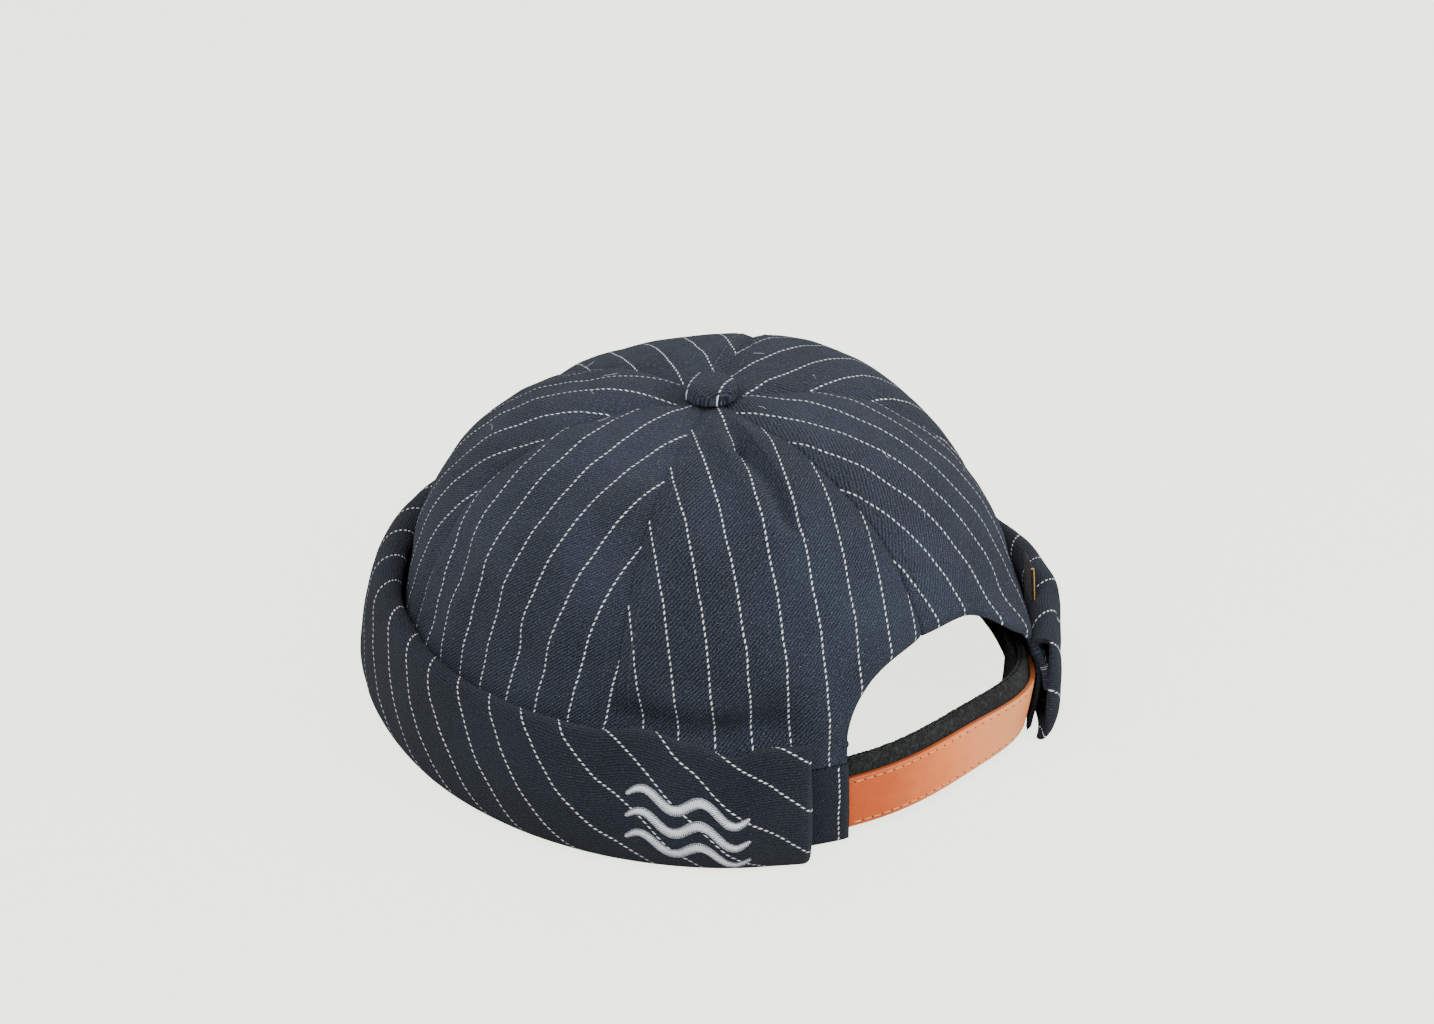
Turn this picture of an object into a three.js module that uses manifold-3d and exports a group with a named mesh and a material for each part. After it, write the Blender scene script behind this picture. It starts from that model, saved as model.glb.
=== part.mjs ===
// A brimless docker beanie: six puffed panels, a covered button, a rolled cuff and a leather strap across the back arch.
// It stands on its cuff. The front is towards -Y, the open back with the strap towards +Y, and angles run from +Y to +X.
import * as THREE from "three";
import { mergeVertices } from "three/addons/utils/BufferGeometryUtils.js";
import Module from "manifold-3d";

const wasm = await Module();
wasm.setup();

// Crown, in millimetres
const crownWidth = 188;
const crownLength = 198;
const crownHeight = 100;
const crownCloth = 2;
const panelPuff = 2.4; // how far a panel's middle swells past its seams
const seamGroove = 1.3;
const seamGrooveSpread = 4;
const seamGap = 0.3;
const stiffHeight = 28.6; // the bands keep the wall smooth up to here
const softHeight = 44; // and from here up its folds have their full depth
const sideHeight = 72; // where the side turns over into the top
const topSink = 1;
const topSinkSpread = 18;
const shoulderAcross = 2.69; // powers of the rounding, 2 is an ellipse and more is boxier
const shoulderUp = 2.55;

// The lower edge swings out beside the far foot of the arch, and more so the higher up, until it fades into the side
const rimFlare = 7.4;
const rimFlareAngle = 334;
const rimFlareSpread = 13;
const rimFlareLean = { foot: 0.72, top: 1.22 }; // shares of the flare at the floor and where the fade begins
const rimFlareFade = { start: 20, end: 64 };

// Arch over the strap
const archWidth = 77;
const archHeight = 55;
const archShoulder = 27; // height where the straight sides turn into the arch
const archOffset = -4.9; // its middle lies a little to the far side
const archRounding = 2.5;
const archSag = 7.6; // how much lower the cloth hangs over its far side
const archSagMiddle = -35;
const archSagSpread = 10.5;

// Button
const buttonWidth = 16;
const buttonDome = 4.7;
const buttonEdge = 1.4;
const shankWidth = 5;
const shankLength = 5;
const shankClearance = 0.7;

// Cuff
const cuffHeight = 40;
const cuffBulge = 12;
const cuffCloth = 3;
const cuffNearAngle = 29;
const cuffFarAngle = 333.5;
const cuffFoldGap = 0.5; // between its underside and its standing face

// The headband carries the panels on its upper edge, and the sweatband lines it
const bandHeight = 25.8;
const bandFoot = 1.2;
const bandCloth = 1.6;
const sweatbandHeight = 25;
const sweatbandFoot = 2;
const sweatbandTape = 1.2;
const pieceGap = 0.3;

// Strap
const strapWidth = 17;
const strapFoot = 3.6;
const strapLeather = 1.6;
const tapeThickness = 1.1;
const tapeWidth = 22.4;
const strapTuck = 14; // how far each end runs on inside the crown
const strapGap = 0.6; // between the headband and the leather

// Small plain folded tape in the channel behind the cuff
const sideLabelAngle = 322;
const sideLabelWidth = 9;
const sideLabelHeight = 19;
const sideLabelTape = 1.4;

// Seams by angle from the back; each panel lies between one and the next.
const seams = [
  { name: "back", angle: 0 },
  { name: "near_back", angle: 63.7 },
  { name: "near_front", angle: 120 },
  { name: "front", angle: 180 },
  { name: "far_front", angle: 240 },
  { name: "far_back", angle: 300 },
];

// Folds run from one place on the crown to another; spread and depth are shares of the crown's height, and a
// negative depth is a ridge. A rise of 0 is the floor and 1 is the top.
const folds = [
  { name: "crease_top", angle: 12, rise: 0.95, endAngle: 21, endRise: 0.86, spread: 0.05, depth: 0.02 },
  { name: "crease_run", angle: 21, rise: 0.86, endAngle: 19, endRise: 0.62, spread: 0.055, depth: 0.032 },
  { name: "crease_lip", angle: 30, rise: 0.84, endAngle: 28, endRise: 0.64, spread: 0.06, depth: -0.012 },
  { name: "near_dimple", angle: 42, rise: 0.17, endAngle: 36, endRise: 0.2, spread: 0.09, depth: 0.08 },
  { name: "near_hollow", angle: 60, rise: 0.2, endAngle: 47, endRise: 0.17, spread: 0.08, depth: 0.06 },
  { name: "side_pucker_1", angle: 84, rise: 0.14, endAngle: 82, endRise: 0.28, spread: 0.07, depth: 0.018 },
  { name: "side_pucker_2", angle: 98, rise: 0.14, endAngle: 96, endRise: 0.34, spread: 0.07, depth: 0.018 },
  { name: "side_pucker_3", angle: 112, rise: 0.16, endAngle: 110, endRise: 0.38, spread: 0.07, depth: 0.02 },
  { name: "top_ridge", angle: 146, rise: 0.93, endAngle: 140, endRise: 0.74, spread: 0.08, depth: -0.016 },
  { name: "front_slack", angle: 166, rise: 0.2, endAngle: 200, endRise: 0.22, spread: 0.11, depth: 0.03 },
  { name: "far_pucker_1", angle: 226, rise: 0.15, endAngle: 228, endRise: 0.36, spread: 0.08, depth: 0.02 },
  { name: "far_pucker_2", angle: 252, rise: 0.16, endAngle: 250, endRise: 0.3, spread: 0.08, depth: 0.018 },
  { name: "far_hollow", angle: 292, rise: 0.19, endAngle: 312, endRise: 0.17, spread: 0.09, depth: 0.03 },
  { name: "far_swell", angle: 246, rise: 0.72, endAngle: 268, endRise: 0.66, spread: 0.26, depth: -0.034 },
  { name: "front_flat", angle: 176, rise: 0.7, endAngle: 204, endRise: 0.74, spread: 0.2, depth: 0.024 },
  { name: "arch_roll", angle: 330, rise: 0.15, endAngle: 342, endRise: 0.25, spread: 0.06, depth: -0.024 },
];

// The cuff along its way round: tall is a share of its height, belly and top are shares of its bulge.
const cuffForm = [
  { at: cuffNearAngle, tall: 0.97, belly: 0.98, top: 0.5 },
  { at: 36, tall: 0.98, belly: 0.9, top: 0.46 },
  { at: 42, tall: 0.9, belly: 0.92, top: 0.36 },
  { at: 49, tall: 1.0, belly: 0.94, top: 0.3 },
  { at: 57, tall: 1.08, belly: 0.96, top: 0.3 },
  { at: 66, tall: 1.01, belly: 0.96, top: 0.38 },
  { at: 80, tall: 1.0, belly: 0.98, top: 0.46 },
  { at: 100, tall: 0.98, belly: 1.02, top: 0.58 },
  { at: 135, tall: 1.0, belly: 1.14, top: 0.74 },
  { at: 180, tall: 1.02, belly: 1.06, top: 0.62 },
  { at: 225, tall: 1.0, belly: 1.0, top: 0.6 },
  { at: 262, tall: 0.98, belly: 0.98, top: 0.54 },
  { at: 290, tall: 0.9, belly: 0.92, top: 0.34 },
  { at: 306, tall: 0.96, belly: 1.01, top: 0.51 },
  { at: 316, tall: 1.02, belly: 0.99, top: 0.71 },
  { at: 324, tall: 0.98, belly: 0.62, top: 0.5 },
  { at: cuffFarAngle, tall: 0.92, belly: 0.54, top: 0.4 },
];

// The cuff's outer face from its flat underside up to its top edge. Out goes from the foot at 0 to the belly at 1
// where towardsTop is 0, and to the top edge where it is 1; up is a share of the height.
const cuffSection = [
  { out: 0, towardsTop: 0, up: 0 },
  { out: 0.46, towardsTop: 0, up: 0 },
  { out: 0.78, towardsTop: 0, up: 0.07 },
  { out: 0.96, towardsTop: 0, up: 0.24 },
  { out: 1, towardsTop: 0.1, up: 0.46 },
  { out: 1, towardsTop: 0.4, up: 0.68 },
  { out: 1, towardsTop: 0.72, up: 0.87 },
  { out: 1, towardsTop: 1, up: 1 },
];

const panelColumns = 14;
const panelRows = 16;
const bandColumns = 54;
const bandRows = 4;
const cuffColumns = 60;
const strapColumns = 16;
const archPoints = 20;
const buttonSides = 20;

const cloth = new THREE.MeshStandardMaterial({ color: 0x2c333d, roughness: 0.95, metalness: 0 });
const blackTape = new THREE.MeshStandardMaterial({ color: 0x15171a, roughness: 1, metalness: 0 });
const leather = new THREE.MeshStandardMaterial({ color: 0xc07142, roughness: 0.5, metalness: 0 });

const halfWidth = crownWidth / 2;
const halfLength = crownLength / 2;
const apexHole = shankWidth / 2 + shankClearance;
const meanRadius = (halfWidth + halfLength) / 2;

const toRadians = THREE.MathUtils.degToRad;
const mix = THREE.MathUtils.lerp;
const smooth = THREE.MathUtils.smoothstep;

// The smooth crown, before puffs and folds, and the way out of its face.
function crownSkin(angle, rise) {
  const turn = (rise * Math.PI) / 2;
  const spread = Math.cos(turn) ** (2 / shoulderAcross);
  const lift = Math.sin(turn) ** (2 / shoulderUp);
  const across = Math.sin(toRadians(angle));
  const along = Math.cos(toRadians(angle));
  const place = new THREE.Vector3(halfWidth * spread * across, halfLength * spread * along, crownHeight * lift);
  const sideways = spread ** (shoulderAcross - 1) * shoulderAcross;
  const outward = new THREE.Vector3(
    (sideways * across) / halfWidth,
    (sideways * along) / halfLength,
    (lift ** (shoulderUp - 1) * shoulderUp) / crownHeight,
  ).normalize();
  return { place, outward };
}

// The rise at which the crown's face has a given height.
function riseAtHeight(height) {
  const turn = Math.asin((height / crownHeight) ** (shoulderUp / 2));
  return turn / (Math.PI / 2);
}

// The rise at which the crown is a given share of its full width.
function riseAtShare(share) {
  return Math.acos(share ** (shoulderAcross / 2)) / (Math.PI / 2);
}

function shareAtHeight(height) {
  return (1 - (height / crownHeight) ** shoulderUp) ** (1 / shoulderAcross);
}

function angleBetween(a, b) {
  return ((((a - b) % 360) + 540) % 360) - 180;
}

function flareAt(angle) {
  return rimFlare * Math.exp(-((angleBetween(angle, rimFlareAngle) / rimFlareSpread) ** 2));
}

function flareShareAt(height) {
  const { start, end } = rimFlareFade;
  return mix(rimFlareLean.foot, rimFlareLean.top, Math.min(height / start, 1)) * (1 - smooth(height, start, end));
}

// How far the panels swell between their seams, less the groove along each seam.
function puffAt(angle, radius) {
  const turn = ((angle % 360) + 360) % 360;
  const after = seams.findLastIndex((seam) => seam.angle <= turn);
  const start = seams[after].angle;
  const end = after + 1 < seams.length ? seams[after + 1].angle : 360;
  const share = (turn - start) / (end - start);
  const toSeam = toRadians(Math.min(turn - start, end - turn)) * radius;
  const swell = panelPuff * (Math.sin(Math.PI * share) - 0.5) * (radius / meanRadius);
  return swell - seamGroove * Math.exp(-((toSeam / seamGrooveSpread) ** 2));
}

const foldLines = folds.map((fold) => ({
  line: new THREE.Line3(
    crownSkin(fold.angle, fold.rise).place,
    crownSkin(fold.endAngle, fold.endRise).place,
  ),
  spread: fold.spread * crownHeight,
  depth: fold.depth * crownHeight,
}));

function foldDepth(place) {
  const nearest = new THREE.Vector3();
  return foldLines.reduce((sum, fold) => {
    const away = fold.line.closestPointToPoint(place, true, nearest).distanceTo(place);
    return sum + fold.depth * Math.exp(-((away / fold.spread) ** 2));
  }, 0);
}

// A point of the crown's outer face, or that far under it; a negative depth lies outside it.
function crownPoint(angle, rise, depth) {
  const { place, outward } = crownSkin(angle, rise);
  const radius = Math.hypot(place.x, place.y);
  const aboveRim = smooth(place.z, stiffHeight, softHeight);
  const offApex = smooth(radius, buttonWidth / 2, buttonWidth * 1.4);
  const relief =
    puffAt(angle, radius) * aboveRim -
    foldDepth(place) * aboveRim * offApex -
    topSink * Math.exp(-((radius / topSinkSpread) ** 2)) +
    flareAt(angle) * flareShareAt(place.z);
  return place.addScaledVector(outward, relief - depth);
}

// A closed wall between two faces. Each face is a function of two shares from 0 to 1.
function wall(outerFace, innerFace, columns, rows) {
  const positions = [];
  const index = [];
  const count = (columns + 1) * (rows + 1);
  for (const face of [outerFace, innerFace])
    for (let row = 0; row <= rows; row++)
      for (let column = 0; column <= columns; column++)
        positions.push(...face(column / columns, row / rows).toArray());
  const at = (column, row, inner) => row * (columns + 1) + column + (inner ? count : 0);
  const quad = (a, b, c, d) => index.push(a, b, c, a, c, d);
  for (let row = 0; row < rows; row++)
    for (let column = 0; column < columns; column++) {
      const next = column + 1;
      const above = row + 1;
      quad(at(column, row), at(next, row), at(next, above), at(column, above));
      quad(at(column, row, true), at(column, above, true), at(next, above, true), at(next, row, true));
    }
  for (let column = 0; column < columns; column++) {
    const next = column + 1;
    quad(at(next, 0), at(column, 0), at(column, 0, true), at(next, 0, true));
    quad(at(column, rows), at(next, rows), at(next, rows, true), at(column, rows, true));
  }
  for (let row = 0; row < rows; row++) {
    const above = row + 1;
    quad(at(0, row), at(0, above), at(0, above, true), at(0, row, true));
    quad(at(columns, above), at(columns, row), at(columns, row, true), at(columns, above, true));
  }
  const geometry = new THREE.BufferGeometry();
  geometry.setAttribute("position", new THREE.Float32BufferAttribute(positions, 3));
  geometry.setIndex(index);
  return geometry;
}

// Angles run from the back towards +X, which is clockwise from above, so a face made that way is turned round.
function turnedRound(geometry) {
  const index = geometry.index.array;
  for (let i = 0; i < index.length; i += 3) [index[i + 1], index[i + 2]] = [index[i + 2], index[i + 1]];
  return geometry;
}

function solidOf(geometry) {
  const bare = new THREE.BufferGeometry();
  bare.setAttribute("position", geometry.getAttribute("position"));
  if (geometry.index) bare.setIndex(geometry.index);
  const merged = mergeVertices(bare, 1e-4);
  return new wasm.Manifold(
    new wasm.Mesh({
      numProp: 3,
      vertProperties: merged.attributes.position.array,
      triVerts: new Uint32Array(merged.index.array),
    }),
  );
}

function geometryOf(solid) {
  const made = solid.getMesh();
  const geometry = new THREE.BufferGeometry();
  geometry.setAttribute("position", new THREE.BufferAttribute(made.vertProperties, 3));
  geometry.setIndex(new THREE.BufferAttribute(made.triVerts, 1));
  return geometry;
}

function piece(name, geometry, material) {
  geometry.computeVertexNormals();
  const mesh = new THREE.Mesh(geometry, material);
  mesh.name = name;
  return mesh;
}

const archNearX = archOffset + archWidth / 2;
const archFarX = archOffset - archWidth / 2;

// The opening's outline seen from behind, run out through the back wall.
function archCutter() {
  const outline = new THREE.Shape();
  outline.moveTo(archFarX, -crownHeight);
  outline.lineTo(archNearX, -crownHeight);
  for (let i = 0; i <= archPoints; i++) {
    const turn = (Math.PI * i) / archPoints;
    const across = Math.sign(Math.cos(turn)) * Math.abs(Math.cos(turn)) ** (2 / archRounding);
    const x = archOffset + (archWidth / 2) * across;
    const sag = archSag * Math.exp(-(((x - archSagMiddle) / archSagSpread) ** 2));
    const up = (archHeight - archShoulder) * Math.sin(turn) ** (2 / archRounding);
    outline.lineTo(x, archShoulder + Math.max(up - sag, 0));
  }
  const cutter = new THREE.ExtrudeGeometry(outline, { depth: crownLength, bevelEnabled: false });
  cutter.rotateX(Math.PI / 2);
  cutter.translate(0, crownLength, 0);
  return cutter;
}

const panelFoot = bandFoot + bandHeight + seamGap;

// A panel between two seams, from the headband's upper edge to the hole under the button. Its rows lie evenly up
// the side and then evenly in across the top.
function panelGeometry(start, end) {
  const apexShare = apexHole / meanRadius;
  const face = (depth) => (across, up) => {
    const rise =
      up < 0.5
        ? riseAtHeight(mix(panelFoot, sideHeight, up * 2))
        : riseAtShare(mix(shareAtHeight(sideHeight), apexShare, up * 2 - 1));
    const middle = crownSkin((start + end) / 2, rise).place;
    const halfGap = THREE.MathUtils.radToDeg(seamGap / 2 / Math.hypot(middle.x, middle.y));
    return crownPoint(mix(start + halfGap, end - halfGap, across), rise, depth);
  };
  return turnedRound(wall(face(0), face(crownCloth), panelColumns, panelRows));
}

// A band that follows the crown's wall between two depths, two heights and two angles.
function bandGeometry({ start, end, foot, height, outerDepth, cloth: thickness, bulge = () => 0, columns, rows }) {
  const face = (depth) => (across, up) => {
    const angle = mix(start, end, across);
    return crownPoint(angle, riseAtHeight(foot + height * up), depth + bulge(angle));
  };
  return turnedRound(wall(face(outerDepth), face(outerDepth + thickness), columns, rows));
}

// Height, belly and top of the cuff at an angle, eased between the rows of the table.
function cuffFormAt(angle) {
  const after = Math.max(1, cuffForm.findIndex((row) => row.at >= angle - 1e-6));
  const [low, high] = [cuffForm[after - 1], cuffForm[after]];
  const share = smooth(angle, low.at, high.at);
  return {
    tall: mix(low.tall, high.tall, share) * cuffHeight,
    belly: mix(low.belly, high.belly, share) * cuffBulge,
    top: mix(low.top, high.top, share) * cuffBulge,
  };
}

// The cuff's outer face as distances out from the rim and up from the floor.
function cuffProfileAt(angle) {
  const form = cuffFormAt(angle);
  return cuffSection.map((row) => {
    const widest = mix(form.belly, form.top, row.towardsTop);
    return new THREE.Vector2(mix(pieceGap, widest, row.out), form.tall * row.up);
  });
}

// The inner face lies one cloth inside the outer one, measured square to it.
function offsetProfile(profile, distance) {
  return profile.map((point, i) => {
    const before = profile[Math.max(0, i - 1)];
    const after = profile[Math.min(profile.length - 1, i + 1)];
    const along = after.clone().sub(before).normalize();
    return new THREE.Vector2(point.x - along.y * distance, point.y + along.x * distance);
  });
}

function rimPoint(angle, out, up) {
  const { place, outward } = crownSkin(angle, 0);
  place.addScaledVector(outward, flareAt(angle) + out);
  return place.setZ(up);
}

// The cuff between some rows of its section; a row of 1.5 lies halfway between the second and the third.
function cuffGeometry(sectionRows) {
  const steps = sectionRows.length - 1;
  const face = (depth) => (across, up) => {
    const angle = mix(cuffNearAngle, cuffFarAngle, across);
    const profile = offsetProfile(cuffProfileAt(angle), depth);
    const row = sectionRows[Math.round(up * steps)];
    const low = Math.min(Math.floor(row), profile.length - 2);
    const { x, y } = profile[low].clone().lerp(profile[low + 1], row - low);
    return rimPoint(angle, x, y);
  };
  return turnedRound(wall(face(0), face(cuffCloth), cuffColumns, steps));
}

// A domed button on a shank, turned about the crown's axis.
function buttonGeometry() {
  const topAt = (radius) => {
    const share = radius / meanRadius;
    const smoothTop = crownHeight * (1 - share ** shoulderAcross) ** (1 / shoulderUp);
    return smoothTop - topSink * Math.exp(-((radius / topSinkSpread) ** 2));
  };
  const radius = buttonWidth / 2;
  const seat = topAt(radius) + seamGap;
  const profile = [
    new THREE.Vector2(0, topAt(0) - shankLength),
    new THREE.Vector2(shankWidth / 2, topAt(0) - shankLength),
    new THREE.Vector2(shankWidth / 2, seat),
    new THREE.Vector2(radius - buttonEdge / 2, seat),
    new THREE.Vector2(radius, seat + buttonEdge / 2),
  ];
  const domeRings = 5;
  for (let i = 1; i <= domeRings; i++) {
    const turn = (Math.PI / 2) * (i / domeRings);
    profile.push(new THREE.Vector2(radius * Math.cos(turn), seat + buttonEdge + buttonDome * Math.sin(turn)));
  }
  profile[profile.length - 1].x = 0;
  return new THREE.LatheGeometry(profile, buttonSides).rotateX(Math.PI / 2);
}

const hat = new THREE.Group();

const arch = solidOf(archCutter());
seams.forEach((seam, i) => {
  const end = i + 1 < seams.length ? seams[i + 1].angle : 360;
  const whole = panelGeometry(seam.angle, end);
  const besideArch = i === 0 || i === seams.length - 1;
  const shape = besideArch ? geometryOf(solidOf(whole).subtract(arch)) : whole;
  hat.add(piece(`crown_panel_${i + 1}`, shape, cloth));
});

hat.add(piece("button", buttonGeometry(), cloth));

// The cuff's underside turns up at its third row, and the standing face goes on from there.
const foldRow = 2;
const [flatRow, turnRow] = [cuffSection[foldRow - 1], cuffSection[foldRow]];
const foldStep = Math.hypot(cuffBulge * (turnRow.out - flatRow.out), cuffHeight * (turnRow.up - flatRow.up));
const faceRows = cuffSection.map((row, i) => i).filter((i) => i >= foldRow);
hat.add(piece("cuff", cuffGeometry(faceRows), cloth));
hat.add(piece("cuff_fold", cuffGeometry([0, foldRow - 1, foldRow - cuffFoldGap / foldStep]), cloth));

// Angles of the arch's two feet, where the bands end and the strap comes out.
const nearFoot = THREE.MathUtils.radToDeg(Math.asin(archNearX / halfWidth));
const farFoot = 360 + THREE.MathUtils.radToDeg(Math.asin(archFarX / halfWidth));
const tuckAngle = THREE.MathUtils.radToDeg(strapTuck / meanRadius);

hat.add(
  piece(
    "headband",
    bandGeometry({
      start: nearFoot,
      end: farFoot,
      foot: bandFoot,
      height: bandHeight,
      outerDepth: 0,
      cloth: bandCloth,
      columns: bandColumns,
      rows: bandRows,
    }),
    cloth,
  ),
);

const strapDepth = bandCloth + strapGap;
const strapStack = strapLeather + 2 * (tapeThickness + pieceGap);

// The sweatband bows inwards where it covers the tucked ends of the strap.
const overStrap = (angle) => {
  const fromFoot = Math.min(angle - nearFoot, farFoot - angle) / tuckAngle;
  return (strapStack + 2 * strapGap - pieceGap) * (1 - smooth(fromFoot, 1.2, 2.2));
};

hat.add(
  piece(
    "sweatband",
    bandGeometry({
      start: nearFoot + 1,
      end: farFoot - 1,
      foot: sweatbandFoot,
      height: sweatbandHeight,
      outerDepth: bandCloth + pieceGap,
      cloth: sweatbandTape,
      bulge: overStrap,
      columns: bandColumns,
      rows: bandRows,
    }),
    blackTape,
  ),
);

// The strap's layers from outside in, each as long as the arch is wide plus its two tucks.
const strapLayers = [
  { name: "strap_leather", width: strapWidth, thickness: strapLeather, surface: leather },
  { name: "strap_loop_tape", width: tapeWidth, thickness: tapeThickness, surface: blackTape },
  { name: "strap_hook_tape", width: tapeWidth, thickness: tapeThickness, surface: blackTape },
];
strapLayers.reduce((depth, layer) => {
  hat.add(
    piece(
      layer.name,
      bandGeometry({
        start: farFoot - tuckAngle - 360,
        end: nearFoot + tuckAngle,
        foot: strapFoot,
        height: layer.width,
        outerDepth: depth,
        cloth: layer.thickness,
        columns: strapColumns,
        rows: bandRows,
      }),
      layer.surface,
    ),
  );
  return depth + layer.thickness + pieceGap;
}, strapDepth);

const labelHalfAngle = THREE.MathUtils.radToDeg(sideLabelWidth / 2 / meanRadius);
hat.add(
  piece(
    "side_label",
    bandGeometry({
      start: sideLabelAngle - labelHalfAngle,
      end: sideLabelAngle + labelHalfAngle,
      foot: bandFoot + bandHeight,
      height: sideLabelHeight,
      outerDepth: -pieceGap - sideLabelTape,
      cloth: sideLabelTape,
      columns: 2,
      rows: bandRows,
    }),
    blackTape,
  ),
);

// The hat stands on the floor with its middle over the origin.
const reach = new THREE.Box3().setFromObject(hat);
const middle = reach.getCenter(new THREE.Vector3());
hat.position.set(-middle.x, -middle.y, -reach.min.z);

const beanie = new THREE.Group();
beanie.name = "docker_beanie";
beanie.add(hat);

export default beanie;
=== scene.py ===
import math

import bpy
import numpy as np
from mathutils import Matrix, Vector, noise


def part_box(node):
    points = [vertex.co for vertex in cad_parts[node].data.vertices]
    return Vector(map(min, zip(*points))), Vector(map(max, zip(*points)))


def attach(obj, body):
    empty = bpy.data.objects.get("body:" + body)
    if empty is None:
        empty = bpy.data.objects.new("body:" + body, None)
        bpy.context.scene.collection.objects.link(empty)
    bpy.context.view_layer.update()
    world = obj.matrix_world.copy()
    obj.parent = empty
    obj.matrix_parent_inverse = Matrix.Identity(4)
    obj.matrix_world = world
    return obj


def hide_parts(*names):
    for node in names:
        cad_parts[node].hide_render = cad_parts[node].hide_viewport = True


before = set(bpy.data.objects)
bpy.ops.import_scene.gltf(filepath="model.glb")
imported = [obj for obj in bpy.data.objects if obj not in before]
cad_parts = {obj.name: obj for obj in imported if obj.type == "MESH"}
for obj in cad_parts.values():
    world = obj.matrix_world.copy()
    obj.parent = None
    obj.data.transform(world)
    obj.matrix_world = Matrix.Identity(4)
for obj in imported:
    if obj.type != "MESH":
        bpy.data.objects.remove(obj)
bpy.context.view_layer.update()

bpy.ops.object.select_all(action="DESELECT")

mm = 0.001  # every size below is in millimetres

# camera, solved from the outline and the seams of the photograph
shot = dict(azimuth=135.642, elevation=30.363, distance=979.3, lens=80.33, aimAcross=1.942, aimUp=58.997)

crown = dict(
    width=188, length=198, height=100, cloth=1.7,
    puff=2.4, groove=0.9, grooveSpread=4.0, seamDip=0.25, seamDipSpread=0.8, dipHeights=(26, 32),
    stiffHeight=28.6, softHeight=44, sideHeight=72, footHeight=27.3, topHole=3.2,
    topSink=1.0, topSinkSpread=18, powerAcross=2.69, powerUp=2.55, foldRadii=(8, 23),
    flare=7.4, flareAngle=334, flareSpread=13,  # beside the strap's far end
    flareFoot=0.72, flareTop=1.22, flareLean=20, flareHeights=(19, 54),
    # unevenness: size, depth and seed of each wave, and the puckers beside the seams
    waves=((17, 0.8, 3.1), (8, 0.42, 8.4), (3.6, 0.14, 5.2)), waveHeights=(26, 34), waveRadii=(5, 14),
    pucker=0.4, puckerSize=4.5, puckerSpread=7, puckerSeed=1.7,
    archTurn=1.0, archTurnSpread=1.3,  # how far the arch's edge is turned in
)
halfWidth = crown["width"] / 2
halfLength = crown["length"] / 2
meanRadius = (halfWidth + halfLength) / 2

# the crown is centred on its headband in the frame
bandLow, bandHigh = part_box("headband")
hatShift = np.array([(bandLow[0] + bandHigh[0]) / 2 / mm, bandLow[1] / mm + halfLength, 0])

# seams by angle from the back towards +X, and where each panel's stripes sit, in stripe spacings
seams = [0, 63.7, 120, 180, 240, 300, 360]
stripePhases = [-0.05, 0.0, 0.5, 0.5, 0.5, 0.5]

# from one place to another: angle, rise, end angle, end rise, spread and depth in mm; below 0 it is a ridge
folds = dict(
    creaseTop=(27, 0.957, 28, 0.867, 2.6, 3.0),
    creaseRun=(28, 0.867, 23, 0.65, 2.8, 4.2),
    creaseLip=(37, 0.87, 31, 0.66, 5, -2.0),
    nearDimple=(42, 0.17, 36, 0.2, 9, 8),
    nearHollow=(60, 0.2, 47, 0.17, 8, 6),
    sidePucker1=(84, 0.14, 82, 0.28, 7, 1.8),
    sidePucker2=(98, 0.14, 96, 0.34, 7, 1.8),
    sidePucker3=(112, 0.16, 110, 0.38, 7, 2),
    topRidge=(146, 0.93, 140, 0.74, 8, -1.6),
    frontSlack=(166, 0.2, 200, 0.22, 11, 3),
    farPucker1=(226, 0.15, 228, 0.36, 8, 2),
    farPucker2=(252, 0.16, 250, 0.3, 8, 1.8),
    farHollow=(292, 0.19, 312, 0.17, 9, 3),
    farSwell=(246, 0.72, 268, 0.66, 26, -3.4),
    frontFlat=(176, 0.7, 204, 0.74, 20, 2.4),
    archRoll=(330, 0.15, 342, 0.25, 6, -2.4),
    kneeWave1=(90, 0.3, 76, 0.24, 5, 1.1),
    kneeWave2=(104, 0.34, 90, 0.2, 4.5, 1.0),
    kneeWave3=(70, 0.3, 66, 0.16, 5, 1.2),
    nearSlack=(52, 0.3, 30, 0.26, 5, 0.9),
    topWave=(80, 0.82, 92, 0.6, 7, 0.9),
)


def smooth(value, low, high):
    share = np.clip((value - low) / (high - low), 0, 1)
    return share * share * (3 - 2 * share)


def mix(low, high, share):
    return low + (high - low) * share


def spreadAt(height):  # how wide the crown still is at a height, 1 at the floor
    return (1 - (np.asarray(height) / crown["height"]) ** crown["powerUp"]) ** (1 / crown["powerAcross"])


def riseAtHeight(height):
    return np.arcsin((np.asarray(height) / crown["height"]) ** (crown["powerUp"] / 2)) / (math.pi / 2)


def riseAtSpread(share):
    return np.arccos(np.asarray(share) ** (crown["powerAcross"] / 2)) / (math.pi / 2)


def spreadAtRise(rise):
    return np.cos(np.asarray(rise) * math.pi / 2) ** (2 / crown["powerAcross"])


def distances(points):  # how long the way is to each row of points
    steps = np.linalg.norm(np.diff(points, axis=0), axis=-1)
    return np.concatenate([np.zeros_like(steps[:1]), np.cumsum(steps, axis=0)])


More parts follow.
